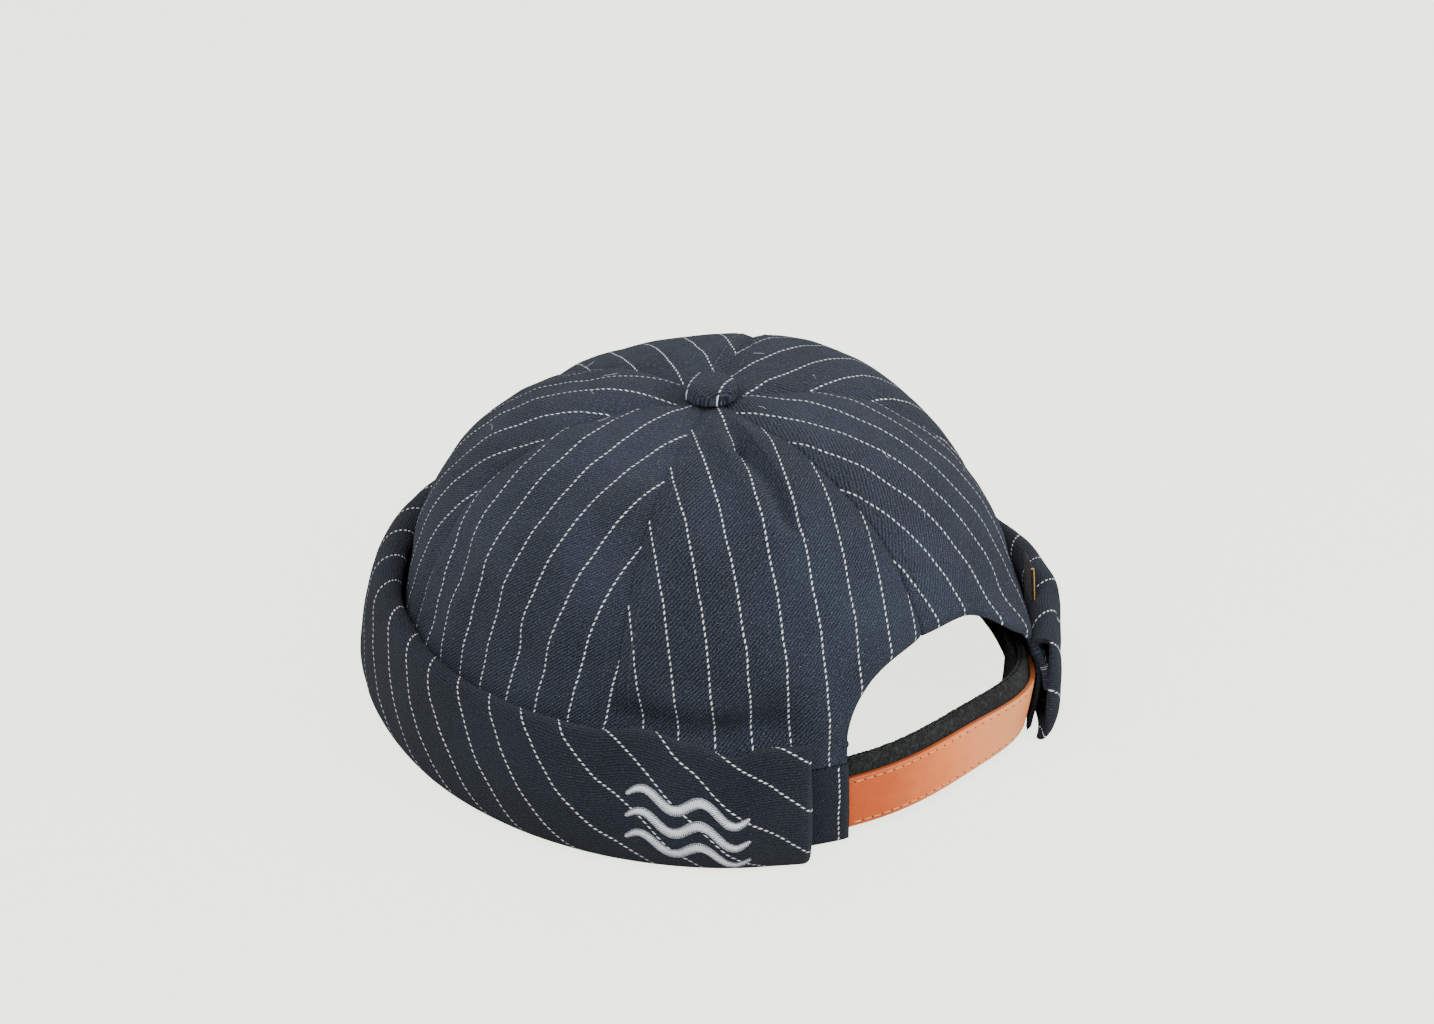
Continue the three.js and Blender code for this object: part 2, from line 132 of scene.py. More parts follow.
def crownSkin(angle, rise):  # the bare crown, before puffs and folds, and its way out
    spread = spreadAtRise(rise)
    lift = np.sin(np.asarray(rise) * math.pi / 2) ** (2 / crown["powerUp"])
    across, along = np.sin(np.radians(angle)), np.cos(np.radians(angle))
    place = np.stack(np.broadcast_arrays(halfWidth * spread * across, halfLength * spread * along,
                                         crown["height"] * lift + 0 * across), -1)
    sideways = spread ** (crown["powerAcross"] - 1) * crown["powerAcross"]
    upward = lift ** (crown["powerUp"] - 1) * crown["powerUp"] / crown["height"]
    outward = np.stack(np.broadcast_arrays(sideways * across / halfWidth, sideways * along / halfLength,
                                           upward + 0 * across), -1)
    return place, outward / np.linalg.norm(outward, axis=-1, keepdims=True)


def flareAt(angle):
    away = (np.asarray(angle) - crown["flareAngle"] + 180) % 360 - 180
    return crown["flare"] * np.exp(-(away / crown["flareSpread"]) ** 2)


def flareFade(height):  # the flare leans out with the height, then dies out up the side
    lean = mix(crown["flareFoot"], crown["flareTop"], np.minimum(np.asarray(height) / crown["flareLean"], 1))
    return lean * (1 - smooth(height, *crown["flareHeights"]))


def ripple(place, size, seed):  # soft noise, one value for each point
    flat = place.reshape(-1, 3) / size + seed
    return np.array([noise.noise(Vector(p)) for p in flat]).reshape(place.shape[:-1])


def foldDepth(place):
    total = np.zeros(place.shape[:-1])
    for angle, rise, endAngle, endRise, spread, depth in folds.values():
        start, end = crownSkin(angle, rise)[0], crownSkin(endAngle, endRise)[0]
        share = np.clip((place - start) @ (end - start) / ((end - start) @ (end - start)), 0, 1)
        away = np.linalg.norm(place - start - share[..., None] * (end - start), axis=-1)
        total += depth * np.exp(-(away / spread) ** 2)
    return total


def crownFace(angle, rise, depth=0.0, detail=True):
    place, outward = crownSkin(angle, rise)
    radius = np.hypot(place[..., 0], place[..., 1])
    turn = np.clip(np.broadcast_to(np.asarray(angle) % 360, radius.shape), 0, 359.999)
    panel = np.searchsorted(seams, turn, side="right") - 1
    start, end = np.take(seams, panel), np.take(seams, panel + 1)
    share = (turn - start) / (end - start)
    toSeam = np.radians(np.minimum(turn - start, end - turn)) * radius
    puff = crown["puff"] * (np.sin(math.pi * share) - 0.5) * radius / meanRadius
    puff -= crown["groove"] * np.exp(-(toSeam / crown["grooveSpread"]) ** 2)
    aboveRim = smooth(place[..., 2], crown["stiffHeight"], crown["softHeight"])
    offTop = smooth(radius, *crown["foldRadii"])
    relief = puff * aboveRim - foldDepth(place) * aboveRim * offTop
    relief -= crown["topSink"] * np.exp(-(radius / crown["topSinkSpread"]) ** 2)
    relief += flareAt(angle) * flareFade(place[..., 2])
    if detail:
        wave = sum(deep * ripple(place, size, seed) for size, deep, seed in crown["waves"])
        pucker = crown["pucker"] * ripple(place, crown["puckerSize"], crown["puckerSeed"])
        pucker = pucker * np.exp(-(toSeam / crown["puckerSpread"]) ** 2)
        shown = smooth(place[..., 2], *crown["waveHeights"]) * smooth(radius, *crown["waveRadii"])
        relief += (wave + pucker) * shown
        dip = crown["seamDip"] * np.exp(-(toSeam / crown["seamDipSpread"]) ** 2)
        relief -= dip * smooth(place[..., 2], *crown["dipHeights"])
    return place + outward * np.asarray(relief - depth)[..., None]


# round the rim: how long the way is from the back to an angle, on the floor
ringAngles = np.linspace(-60, 420, 1921)
ringStep = np.hypot(halfWidth * np.cos(np.radians(ringAngles)), halfLength * np.sin(np.radians(ringAngles)))
ringLengths = np.concatenate([[0], np.cumsum((ringStep[1:] + ringStep[:-1]) / 2 * np.radians(0.25))])


def ringLength(angle):
    return np.interp(angle, ringAngles, ringLengths)


def gridPiece(name, points, cloth, closed=False, thickness=0.0, levels=0, rimCrease=0.0):
    # points and cloth are rows by columns; columns run to the right as seen from outside, rows run up
    rows, columns = points.shape[0] - 1, points.shape[1] - 1
    bpy.ops.mesh.primitive_grid_add(x_subdivisions=columns, y_subdivisions=rows, size=1)
    piece = bpy.context.object
    piece.name = name
    mesh = piece.data
    mesh.name = name
    places = np.zeros(len(mesh.vertices) * 3)
    mesh.vertices.foreach_get("co", places)
    column = np.rint((places[0::3] + 0.5) * columns).astype(int)
    row = np.rint((places[1::3] + 0.5) * rows).astype(int)
    mesh.vertices.foreach_set("co", ((points[row, column] + hatShift) * mm).ravel())
    while mesh.uv_layers:
        mesh.uv_layers.remove(mesh.uv_layers[0])
    layer = mesh.uv_layers.new(name="cloth")
    corner = np.zeros(len(mesh.loops), int)
    mesh.loops.foreach_get("vertex_index", corner)
    layer.uv.foreach_set("vector", cloth[row[corner], column[corner]].ravel())
    mesh.update()
    if closed:
        bpy.ops.object.mode_set(mode="EDIT")
        bpy.ops.mesh.select_all(action="SELECT")
        bpy.ops.mesh.remove_doubles(threshold=0.02 * mm)
        bpy.ops.object.mode_set(mode="OBJECT")
    if thickness:
        shell = piece.modifiers.new("thickness", "SOLIDIFY")
        shell.thickness = thickness * mm
        shell.offset = -1
        shell.edge_crease_outer = rimCrease
        bpy.ops.object.modifier_apply(modifier="thickness")
    if levels:
        finer = piece.modifiers.new("finer", "SUBSURF")
        finer.levels = finer.render_levels = levels
        bpy.ops.object.modifier_apply(modifier="finer")
    bpy.ops.object.shade_smooth()
    piece.select_set(False)
    return piece


def dress(piece, material, slot, *nodes):
    piece.data.materials.clear()
    piece.data.materials.append(material)
    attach(piece, "root")
    if nodes:
        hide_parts(*nodes)
    return piece


# shader helpers
def feed(tree, made, inputs):  # a socket is linked, and any other value is set
    for key, value in inputs.items():
        if isinstance(value, bpy.types.NodeSocket):
            tree.links.new(value, made.inputs[key])
        else:
            made.inputs[key].default_value = value
    return made


def node(tree, kind, inputs=None, **settings):
    made = tree.nodes.new("ShaderNode" + kind)
    for key, value in settings.items():
        setattr(made, key, value)
    return feed(tree, made, inputs or {})


def sums(tree, operation, first, second=0.0, third=0.0):
    return node(tree, "Math", {0: first, 1: second, 2: third}, operation=operation).outputs[0]


def ease(tree, value, low, high, toLow=0.0, toHigh=1.0):
    inputs = {"Value": value, "From Min": low, "From Max": high, "To Min": toLow, "To Max": toHigh}
    return node(tree, "MapRange", inputs, interpolation_type="SMOOTHSTEP").outputs[0]


def blend(tree, share, first, second):
    # colours go in at sockets 6 and 7 and come out at 2
    return node(tree, "Mix", {"Factor": share, 6: first, 7: second}, data_type="RGBA").outputs[2]


def noiseAt(tree, vector, scale, detail=2.0, rough=0.5):
    inputs = {"Vector": vector, "Scale": scale, "Detail": detail, "Roughness": rough}
    return node(tree, "TexNoise", inputs).outputs[0]


def colour(red, green, blue):  # from screen values of 0 to 255
    linear = [((c / 255 + 0.055) / 1.055) ** 2.4 if c > 10 else c / 255 / 12.92 for c in (red, green, blue)]
    return (*linear, 1)


def newGroup(name, inputs, outputs):
    group = bpy.data.node_groups.new(name, "ShaderNodeTree")
    for label, value in inputs.items():
        kind = "NodeSocketVector" if value is None else "NodeSocketFloat"
        socket = group.interface.new_socket(name=label, in_out="INPUT", socket_type=kind)
        if value is not None:
            socket.default_value = value
    for label in outputs:
        group.interface.new_socket(name=label, in_out="OUTPUT", socket_type="NodeSocketFloat")
    return group, group.nodes.new("NodeGroupInput").outputs, group.nodes.new("NodeGroupOutput").inputs


def useGroup(tree, group, **inputs):
    made = tree.nodes.new("ShaderNodeGroup")
    made.node_tree = group
    return feed(tree, made, inputs).outputs


def newMaterial(name):
    material = bpy.data.materials.new(name)
    material.use_nodes = True
    return material, material.node_tree, material.node_tree.nodes["Principled BSDF"]


twill = dict(rib=1.25, wobble=1.2, stagger=2.4, yarnPitch=1.1, yarnDepth=0.45, fibreStretch=0.4)


def makeTwillGroup():  # diagonal ribs that rise to the right, broken up by the yarns that cross them
    group, given, put = newGroup("twillRibs", {"Cloth": None, "Rib": twill["rib"]}, ["Height", "Fibre"])
    wobble = sums(group, "MULTIPLY_ADD", noiseAt(group, given["Cloth"], 0.7, 2), twill["wobble"], 0)
    split = node(group, "SeparateXYZ", {0: given["Cloth"]}).outputs
    across = sums(group, "ADD", sums(group, "SUBTRACT", split[1], split[0]), wobble)
    along = sums(group, "ADD", split[0], split[1])
    turns = sums(group, "DIVIDE", across, given["Rib"])
    ribs = sums(group, "MULTIPLY_ADD", sums(group, "SINE", sums(group, "MULTIPLY", turns, math.tau)), 0.5, 0.5)
    shift = sums(group, "MULTIPLY", sums(group, "FLOOR", turns), twill["stagger"])
    yarnTurn = sums(group, "MULTIPLY_ADD", sums(group, "DIVIDE", along, given["Rib"]),
                    math.tau * twill["yarnPitch"], shift)
    yarns = sums(group, "MULTIPLY_ADD", sums(group, "SINE", yarnTurn), 0.5, 0.5)
    crossed = sums(group, "MULTIPLY_ADD", yarns, twill["yarnDepth"], 1 - twill["yarnDepth"])
    group.links.new(sums(group, "MULTIPLY", ribs, crossed), put["Height"])
    stretch = node(group, "Mapping", {"Vector": given["Cloth"], "Scale": (1.0, twill["fibreStretch"], 1.0)})
    fibre = noiseAt(group, stretch.outputs[0], 3.2, 3, 0.7)
    group.links.new(ease(group, fibre, 0.36, 0.72), put["Fibre"])
    return group


stripe = dict(spacing=11.0, halfWidth=0.23, pitch=1.8, dash=0.25, uneven=0.16, slant=1.0, wander=1.5)


def makePinstripeGroup():  # a line of slanted dashes at every multiple of the spacing
    inputs = {"Cloth": None, "Spacing": stripe["spacing"], "Pitch": stripe["pitch"]}
    group, given, put = newGroup("pinstripe", inputs, ["Mask"])
    split = node(group, "SeparateXYZ", {0: given["Cloth"]}).outputs
    wander = sums(group, "MULTIPLY_ADD", noiseAt(group, given["Cloth"], 0.07, 2), stripe["wander"],
                  -stripe["wander"] / 2)
    lines = sums(group, "DIVIDE", sums(group, "ADD", split[0], wander), given["Spacing"])
    off = sums(group, "MULTIPLY", sums(group, "SUBTRACT", lines, sums(group, "ROUND", lines)), given["Spacing"])
    slanted = sums(group, "MULTIPLY_ADD", off, -stripe["slant"], split[1])
    dashes = sums(group, "FRACT", sums(group, "DIVIDE", slanted, given["Pitch"]))
    fromMiddle = sums(group, "ABSOLUTE", sums(group, "SUBTRACT", dashes, 0.5))
    uneven = noiseAt(group, given["Cloth"], 0.55, 1)
    reach = sums(group, "MULTIPLY_ADD", uneven, stripe["uneven"], stripe["dash"] - stripe["uneven"] / 2)
    long = ease(group, sums(group, "SUBTRACT", fromMiddle, reach), -0.06, 0.07, 1, 0)
    low, high = stripe["halfWidth"] - 0.12, stripe["halfWidth"] + 0.1  # where the yarn's edge fades
    wide = ease(group, sums(group, "ABSOLUTE", off), low, high, 1, 0)
    group.links.new(sums(group, "MULTIPLY", long, wide), put["Mask"])
    return group


wool = dict(
    dark=colour(3, 6, 11), light=colour(47, 55, 71), fleck=colour(142, 152, 170), stripe=colour(242, 244, 250),
    roughness=0.95, sheen=0.06, bump=0.5, cloud=0.16, ribs=1.05, fibre=0.3, specks=0.6, grit=0.45,
)


def makeWool(name, paintedShade=1.0):  # a value under 1 paints shade into a darker copy of the same cloth
    light, fleck = ([channel * paintedShade for channel in wool[key][:3]] + [1] for key in ("light", "fleck"))
    material, tree, shader = newMaterial(name)
    cloth = node(tree, "UVMap", uv_map="cloth").outputs[0]
    ribs = useGroup(tree, twillRibs, Cloth=cloth)
    stripes = useGroup(tree, pinstripes, Cloth=cloth)["Mask"]
    place = node(tree, "TexCoord").outputs["Object"]
    cloud = ease(tree, noiseAt(tree, place, 26, 3, 0.6), 0.3, 0.7, -wool["cloud"], wool["cloud"])
    tone = sums(tree, "MULTIPLY_ADD", ribs["Height"], wool["ribs"], cloud)
    tone = sums(tree, "MULTIPLY_ADD", ribs["Fibre"], wool["fibre"], tone)
    base = blend(tree, tone, wool["dark"], light)
    specks = ease(tree, noiseAt(tree, cloth, 1.7, 3, 0.8), 0.57, 0.74, 0, wool["specks"])
    base = blend(tree, specks, base, fleck)
    grit = ease(tree, noiseAt(tree, cloth, 3.6, 2, 0.8), 0.58, 0.72, 0, wool["grit"])
    base = blend(tree, grit, base, fleck)
    tree.links.new(blend(tree, stripes, base, wool["stripe"]), shader.inputs["Base Color"])
    height = sums(tree, "MULTIPLY_ADD", stripes, 0.5, ribs["Height"])
    height = sums(tree, "MULTIPLY_ADD", ribs["Fibre"], 0.5, height)
    bump = node(tree, "Bump", {"Strength": 0.8, "Distance": wool["bump"] * mm, "Height": height})
    tree.links.new(bump.outputs[0], shader.inputs["Normal"])
    shader.inputs["Roughness"].default_value = wool["roughness"]
    shader.inputs["Specular IOR Level"].default_value = 0.25
    shader.inputs["Sheen Weight"].default_value = wool["sheen"]
    shader.inputs["Sheen Roughness"].default_value = 0.45
    shader.inputs["Sheen Tint"].default_value = colour(205, 210, 222)
    return material


tape = dict(dark=colour(5, 6, 7), light=colour(44, 49, 51), roughness=0.95, sheen=0.1)


def makeTape():
    material, tree, shader = newMaterial("blackPileTape")
    place = node(tree, "TexCoord").outputs["Object"]
    pile = noiseAt(tree, place, 1500, 3, 0.75)
    curls = noiseAt(tree, place, 520, 2, 0.6)
    tone = ease(tree, sums(tree, "MULTIPLY_ADD", curls, 0.4, sums(tree, "MULTIPLY", pile, 0.7)), 0.5, 0.72)
    tree.links.new(blend(tree, tone, tape["dark"], tape["light"]), shader.inputs["Base Color"])
    bump = node(tree, "Bump", {"Strength": 1.0, "Distance": 0.5 * mm, "Height": pile})
    tree.links.new(bump.outputs[0], shader.inputs["Normal"])
    shader.inputs["Roughness"].default_value = tape["roughness"]
    shader.inputs["Sheen Weight"].default_value = tape["sheen"]
    shader.inputs["Specular IOR Level"].default_value = 0.2
    return material


leather = dict(
    base=colour(236, 124, 56), deep=colour(190, 76, 20), pale=colour(255, 178, 122), edge=colour(128, 56, 24),
    roughness=0.37, paintedLightFrom=-138, paintedLightTo=-58, grain=0.06, width=17.0, foot=3.6, thickness=1.6, columns=160,
)


def makeLeather():
    material, tree, shader = newMaterial("tanLeather")
    cloth = node(tree, "UVMap", uv_map="cloth").outputs[0]
    split = node(tree, "SeparateXYZ", {0: cloth}).outputs
    cells = node(tree, "TexVoronoi", {"Vector": cloth, "Scale": 1.7, "Randomness": 1.0},
                 feature="DISTANCE_TO_EDGE").outputs[0]
    pores = ease(tree, cells, 0.0, 0.14)
    clouds = noiseAt(tree, cloth, 0.16, 4, 0.6)
    fine = noiseAt(tree, cloth, 2.6, 3, 0.6)
    # painted light: the leather goes from the deep colour to the base colour and on to a pale painted highlight
    # towards the strap's far end, standing in for the side light there; the clouds mixed in are real tone
    # variation
    paintedLightTowardsFar = ease(tree, split[0], leather["paintedLightFrom"], leather["paintedLightTo"])
    cloudsAndPaintedLight = sums(tree, "MULTIPLY_ADD", clouds, 0.3, paintedLightTowardsFar)
    base = blend(tree, ease(tree, cloudsAndPaintedLight, 0.15, 0.75), leather["deep"], leather["base"])
    base = blend(tree, ease(tree, cloudsAndPaintedLight, 0.6, 1.15, 0, 0.5), base, leather["pale"])
    base = blend(tree, ease(tree, fine, 0.5, 0.8, 0, 0.35), base, leather["pale"])
    edgeAway = sums(tree, "SUBTRACT", leather["width"] / 2, sums(tree, "ABSOLUTE", split[1]))
    burnish = ease(tree, edgeAway, -0.2, 0.7, 0.85, 0)
    base = blend(tree, burnish, base, leather["edge"])
    tree.links.new(base, shader.inputs["Base Color"])
    rough = ease(tree, fine, 0.3, 0.7, leather["roughness"] - 0.05, leather["roughness"] + 0.09)
    tree.links.new(rough, shader.inputs["Roughness"])
    height = sums(tree, "MULTIPLY_ADD", fine, 0.6, pores)
    bump = node(tree, "Bump", {"Strength": 0.35, "Distance": leather["grain"] * mm, "Height": height})
    tree.links.new(bump.outputs[0], shader.inputs["Normal"])
    shader.inputs["Specular IOR Level"].default_value = 0.45
    return material


def makeThread(name, dark, light, roughness=0.6):
    material, tree, shader = newMaterial(name)
    place = node(tree, "TexCoord").outputs["Object"]
    strands = noiseAt(tree, place, 2600, 2, 0.6)
    tree.links.new(blend(tree, ease(tree, strands, 0.35, 0.65), dark, light), shader.inputs["Base Color"])
    bump = node(tree, "Bump", {"Strength": 0.5, "Distance": 0.08 * mm, "Height": strands})
    tree.links.new(bump.outputs[0], shader.inputs["Normal"])
    shader.inputs["Roughness"].default_value = roughness
    shader.inputs["Sheen Weight"].default_value = 0.2
    return material


twillRibs, pinstripes = makeTwillGroup(), makePinstripeGroup()
woolCloth = makeWool("pinstripedWool")
# the cuff and headband wear the panels' cloth with painted shade: the same wool, darkened to stand in for the
# shade that falls on them
paintedShadeWool = makeWool("pinstripedWoolPaintedShade", 0.52)
blackTape = makeTape()
tanLeather = makeLeather()
navyThread = makeThread("navyThread", colour(8, 10, 16), colour(34, 39, 50), 0.9)
tanThread = makeThread("tanThread", colour(190, 112, 48), colour(236, 170, 98))
# dark brown for the needle holes: painted shade, since the holes are dark discs laid on the leather and are not
# cut into it
paintedHoleShade = makeThread("needleHoleShade", colour(52, 26, 16), colour(84, 42, 24), 0.9)
paleThread = makeThread("paleThread", colour(196, 199, 205), colour(238, 239, 242), 0.5)
greyThread = makeThread("greyThread", colour(86, 91, 102), colour(134, 140, 152), 0.6)
goldThread = makeThread("goldThread", colour(150, 104, 40), colour(226, 166, 62), 0.55)
print("materials ready")

# the arch over the strap, seen from behind
arch = dict(width=77, height=55, shoulder=27, offset=-4.9, rounding=2.5, sag=7.6, sagMiddle=-35, sagSpread=10.5)
panelMesh = dict(sideRows=30, topRows=34, columns=40, crowding=0.7,
                 nearArch=24, nearSide=28, farArch=28, farSide=22)  # columns over the arch and beside it


def archColumns(startTurn, endTurn, count):  # angles of the arch's edge and its height there
    turn = np.linspace(startTurn, endTurn, count + 1)
    across = np.sign(np.cos(turn)) * np.abs(np.cos(turn)) ** (2 / arch["rounding"])
    up = (arch["height"] - arch["shoulder"]) * np.clip(np.sin(turn), 0, 1) ** (2 / arch["rounding"])
    x = arch["offset"] + arch["width"] / 2 * across
    sag = arch["sag"] * np.exp(-((x - arch["sagMiddle"]) / arch["sagSpread"]) ** 2)
    height = arch["shoulder"] + np.maximum(up - sag, 0)
    angle = np.degrees(np.arcsin(x / (halfWidth * spreadAt(height))))
    return angle, np.maximum(height, crown["footHeight"])


def eased(count):  # shares that lie closer together at both ends
    plain = np.linspace(0, 1, count + 1)
    return mix(plain, (1 - np.cos(math.pi * plain)) / 2, panelMesh["crowding"])


def panelColumns(start, end):  # from the panel's left seam to its right one, as seen from outside
    middleTurn = math.acos((-arch["offset"] * 2 / arch["width"]) ** (arch["rounding"] / 2))
    if start == 0:
        edge, edgeFeet = archColumns(0, middleTurn, panelMesh["nearArch"])
        side = mix(end, edge[0], eased(panelMesh["nearSide"]))
        return np.r_[side, edge[1:]], np.r_[np.full(side.shape, crown["footHeight"]), edgeFeet[1:]]
    if end == 360:
        edge, edgeFeet = archColumns(middleTurn, math.pi, panelMesh["farArch"])
        side = mix(edge[-1] + 360, start, eased(panelMesh["farSide"]))
        return np.r_[edge + 360, side[1:]], np.r_[edgeFeet, np.full(side.shape, crown["footHeight"])[1:]]
    plain = mix(end, start, eased(panelMesh["columns"]))
    return plain, np.full(plain.shape, crown["footHeight"])


def clothOnCrown(angle, rise, middle, phase):  # the panel's cloth laid flat: across and up from its middle line
    across = (ringLength(middle) - ringLength(angle)) * spreadAtRise(rise) + phase * stripe["spacing"]
    rises = np.linspace(0, 0.9999, 400)
    return np.stack([across, np.interp(rise, rises, distances(crownSkin(middle, rises)[0]))], -1)


def makePanel(number):
    start, end = seams[number - 1], seams[number]
    angles, feet = panelColumns(start, end)
    up = np.linspace(0, 1, panelMesh["sideRows"] + 1)[:, None]
    sides = riseAtHeight(mix(feet[None, :], crown["sideHeight"], up))
    inward = np.linspace(0, 1, panelMesh["topRows"] + 1)[1:, None]
    hole = crown["topHole"] / meanRadius
    tops = riseAtSpread(mix(spreadAt(crown["sideHeight"]), hole, inward)) + 0 * feet[None, :]
    rise = np.vstack([sides, tops])
    angle = np.clip(np.broadcast_to(angles[None, :], rise.shape), start, end)
    points = crownFace(angle, rise)
    if number in (1, 6):
        turned = crown["archTurn"] * np.exp(-(distances(points) / crown["archTurnSpread"]) ** 2)
        turned = turned * (feet > crown["footHeight"] + 0.5)[None, :]
        points -= crownSkin(angle, rise)[1] * turned[..., None]
    cloth = clothOnCrown(angle, rise, (start + end) / 2, stripePhases[number - 1])
    piece = gridPiece(f"wool_panel_{number}", points, cloth, thickness=crown["cloth"], levels=1, rimCrease=0.75)
    dress(piece, woolCloth, "striped_wool", f"crown_panel_{number}")


for number in range(1, 7):
    makePanel(number)
print("six panels sewn")

# tape that binds each seam inside
seamTape = dict(width=10, depth=1.95, cloth=0.5, foot=28.5, backFoot=56.5, top=12, rows=48, columns=6)


def makeSeamTape(number, seam):
    foot = seamTape["backFoot"] if seam == 0 else seamTape["foot"]
    top = riseAtSpread(seamTape["top"] / meanRadius)
    rises = np.linspace(riseAtHeight(foot), top, seamTape["rows"] + 1)[:, None]
    across = np.linspace(-0.5, 0.5, seamTape["columns"] + 1)[None, :] * seamTape["width"]
    angles = seam - np.degrees(across / (meanRadius * spreadAtRise(rises)))
    points = crownFace(angles, rises + 0 * angles, seamTape["depth"])
    along = distances(points[:, seamTape["columns"] // 2])
    cloth = np.stack(np.broadcast_arrays(across, along[:, None]), -1)
    piece = gridPiece(f"seam_tape_{number}", points, cloth, thickness=seamTape["cloth"])
    dress(piece, blackTape, "black_tape")


for number, seam in enumerate(seams[:-1], 1):
    makeSeamTape(number, seam)
print("seams taped")

button = dict(width=16.6, dome=5.0, edge=1.2, flat=0.6, fullness=0.8, foot=1.1, stripeTurn=-67, stretch=1.1,
              gathers=13, gather=0.008, dimple=0.12, dimpleScale=2.2)


def makeButton():
    radius = button["width"] / 2
    topHeight = crown["height"] * (1 - (radius / meanRadius) ** crown["powerAcross"]) ** (1 / crown["powerUp"])
    seat = topHeight - crown["topSink"] * math.exp(-(radius / crown["topSinkSpread"]) ** 2)
    bpy.ops.mesh.primitive_uv_sphere_add(segments=64, ring_count=40, radius=1)
    piece = bpy.context.object
    piece.name = "wool_button"
    turn = math.radians(button["stripeTurn"])
    for vertex in piece.data.vertices:
        x, y, z = vertex.co
        across = math.hypot(x, y)
        bulge = across ** button["fullness"]  # a fuller edge than a ball's
        if z > 0:
            height = button["edge"] + button["dome"] * z ** button["flat"]
        else:
            height = button["edge"] * (1 + z * button["foot"])
        if z < 0.3:  # gathers round the edge
            bulge += button["gather"] * math.sin(button["gathers"] * math.atan2(y, x)) * across ** 6
        size = radius * bulge / max(across, 1e-6)
        dimple = button["dimple"] * noise.noise(vertex.co * button["dimpleScale"])
        vertex.co = (Vector((x * size, y * size, seat + height + dimple)) + Vector(hatShift)) * mm
    layer = piece.data.uv_layers[0]
    layer.name = "cloth"
    for corner in piece.data.loops:
        local = piece.data.vertices[corner.vertex_index].co / mm - Vector(hatShift)
        layer.uv[corner.index].vector = (
            (local.x * math.cos(turn) + local.y * math.sin(turn)) * button["stretch"] + stripe["spacing"] / 2,
            local.y * math.cos(turn) - local.x * math.sin(turn),
        )
    bpy.ops.object.shade_smooth()
    piece.select_set(False)
    return dress(piece, woolCloth, "striped_wool", "button")


makeButton()
print("button covered")

cuff = dict(height=40, bulge=12, cloth=2.2, near=29, far=333.5, columns=210, channel=1.8, farChannel=0.5,
            rollHeight=5.0, innerDrop=15, biasAngle=48, slopeNear=0.76, slopeFar=0.64, hem=3.2, hemOut=2.9,
            out=6, waves=((21, 0.8, 5.3), (9, 0.4, 2.2)), waveHeights=(3, 12), faceRows=22, flapRows=16)
cuffForm = np.array([  # angle, height as a share, belly and top as shares of the bulge
    (29, 0.97, 0.98, 0.5), (36, 0.98, 0.9, 0.46), (42, 0.9, 0.92, 0.36), (49, 1.0, 0.94, 0.3),
    (57, 1.08, 0.96, 0.3), (66, 1.01, 0.96, 0.38), (80, 1.0, 0.98, 0.46), (100, 0.98, 1.02, 0.58),
    (135, 1.0, 1.14, 0.74), (180, 1.02, 1.06, 0.62), (225, 1.0, 1.0, 0.6), (262, 0.98, 0.98, 0.54),
    (290, 0.9, 0.94, 0.42), (306, 0.96, 1.03, 0.72), (316, 1.02, 1.0, 0.8), (324, 0.98, 0.62, 0.5),
    (333.5, 0.92, 0.54, 0.4),
])
# angles where a stripe meets the cuff's top edge; past the last of them they are evenly spaced
cuffStripes = [8, 18.5, 30, 41, 52, 60.3, 69.8, 77.0, 83.9, 90.7, 98.6, 106.0, 114.6]
cuffStripes += [cuffStripes[-1] + 8.7 * step for step in range(1, 27)]


def cuffFormAt(angle):
    after = np.clip(np.searchsorted(cuffForm[:, 0], angle), 1, len(cuffForm) - 1)
    low, high = cuffForm[after - 1], cuffForm[after]
    share = smooth(angle, low[0], high[0])
    tall, belly, top = mix(low[1:], high[1:], share)
    return tall * cuff["height"], belly * cuff["bulge"], top * cuff["bulge"]


def smoothLine(points, count):  # a curve through the points, evenly spaced along its way
    padded = np.vstack([2 * points[0] - points[1], points, 2 * points[-1] - points[-2]])
    fine = []
    for a, b, c, d in zip(padded, padded[1:], padded[2:], padded[3:]):
        t = np.linspace(0, 1, 12, endpoint=False)[:, None]
        fine.append(0.5 * (2 * b + (c - a) * t + (2 * a - 5 * b + 4 * c - d) * t ** 2
                           + (3 * b - a - 3 * c + d) * t ** 3))
    fine = np.vstack([*fine, points[-1:]])
    along = distances(fine)
    at = np.linspace(0, along[-1], count + 1)
    return np.stack([np.interp(at, along, fine[:, k]) for k in (0, 1)], -1)


def wallOut(angle, height):  # how far the crown's wall lies out from the rim
    return -(1 - float(spreadAt(height))) * meanRadius - flareAt(angle) * (1 - flareFade(height))


